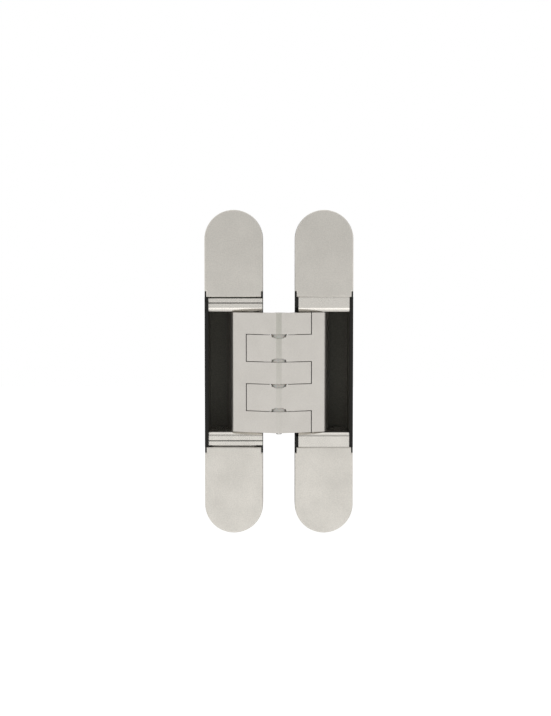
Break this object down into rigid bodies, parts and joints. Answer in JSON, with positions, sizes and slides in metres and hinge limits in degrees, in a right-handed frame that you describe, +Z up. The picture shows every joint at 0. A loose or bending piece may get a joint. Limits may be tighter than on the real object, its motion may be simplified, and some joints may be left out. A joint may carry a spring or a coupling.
{
  "type": "concealed door hinge",
  "caption": "Concealed hinge for a flush door: two narrow rounded leaves joined by folding finger arms that swing out of deep mortised housings.",
  "frame": {"origin": "centre of the frame leaf's screw holes, on the plane where its ends seat in the mortise", "axes": "+X from the frame leaf to the door leaf, +Y into the wood, +Z up along the leaves"},
  "size_m": [0.0733, 0.0392, 0.16],
  "materials": {
    "black_casting": "satin black paint",
    "satin_cover": "satin silver",
    "satin_silver": "satin silver",
    "block_metal": "satin silver",
    "pin_steel": "ground",
    "screw_steel": "zinc plated",
    "bush_plastic": "smooth",
    "washer_plastic": "smooth"
  },
  "bodies": {
    "frame": {"frame_housing": "black_casting", "frame_cover_top": "satin_cover", "frame_cover_bottom": "satin_cover", "frame_clamp_screw_top": "screw_steel", "frame_clamp_screw_bottom": "screw_steel"},
    "frame_carriage": {"frame_block_top": "block_metal", "frame_block_bottom": "block_metal", "frame_pivot_pin": "pin_steel"},
    "two_finger_arm": {"two_finger_arm": "satin_silver", "door_slide_pin": "pin_steel", "door_slide_bush_top": "bush_plastic", "door_slide_bush_bottom": "bush_plastic", "frame_pivot_bush_1": "bush_plastic", "frame_pivot_bush_2": "bush_plastic", "centre_washer_1": "washer_plastic", "centre_washer_2": "washer_plastic", "centre_washer_3": "washer_plastic", "centre_washer_4": "washer_plastic"},
    "three_finger_arm": {"three_finger_arm": "satin_silver", "frame_slide_pin": "pin_steel", "frame_slide_bush_top": "bush_plastic", "frame_slide_bush_bottom": "bush_plastic", "door_pivot_bush_1": "bush_plastic", "door_pivot_bush_2": "bush_plastic", "door_pivot_bush_3": "bush_plastic", "centre_pin": "pin_steel"},
    "door_carriage": {"door_block_top": "block_metal", "door_block_bottom": "block_metal", "door_pivot_pin": "pin_steel"},
    "door_screw_top": {"door_depth_screw_top": "screw_steel"},
    "door_screw_bottom": {"door_depth_screw_bottom": "screw_steel"},
    "door": {"door_housing": "black_casting", "door_cover_top": "satin_cover", "door_cover_bottom": "satin_cover"}
  },
  "joints": [
    {"name": "height_slide", "type": "slide", "parent": "frame", "child": "frame_carriage", "axis": [0, 0, 1], "range_m": [-0.002, 0.002]},
    {"name": "frame_pivot", "type": "hinge", "parent": "frame_carriage", "child": "two_finger_arm", "pos_m": [0.0085, -0.00401, 0], "axis": [0, 0, -1], "range_deg": [0, 108]},
    {"name": "centre_pivot", "type": "hinge", "parent": "two_finger_arm", "child": "three_finger_arm", "pos_m": [0.02225, -0.014, 0], "axis": [0, 0, -1], "range_deg": [-36, 0]},
    {"name": "door_pivot", "type": "hinge", "parent": "three_finger_arm", "child": "door_carriage", "pos_m": [0.036, -0.00401, 0], "axis": [0, 0, -1], "range_deg": [0, 108]},
    {"name": "depth_slide", "type": "slide", "parent": "door_carriage", "child": "door", "axis": [0, 1, 0], "range_m": [-0.001, 0.001]},
    {"name": "depth_screw_top_turn", "type": "hinge", "parent": "door_carriage", "child": "door_screw_top", "pos_m": [0.0445, -0.0079, 0.0434], "axis": [0, 1, 0], "range_deg": [-361, 361]},
    {"name": "depth_screw_bottom_turn", "type": "hinge", "parent": "door_carriage", "child": "door_screw_bottom", "pos_m": [0.0445, -0.0079, -0.0434], "axis": [0, 1, 0], "range_deg": [-361, 361]}
  ],
  "couplings": [
    {"joint": "centre_pivot", "follows": "frame_pivot", "ratio": -0.33333},
    {"joint": "door_pivot", "follows": "frame_pivot", "ratio": 1},
    {"joint": "depth_screw_top_turn", "follows": "depth_slide", "rad_per_m": -6283.2},
    {"joint": "depth_screw_bottom_turn", "follows": "depth_slide", "rad_per_m": -6283.2}
  ]
}
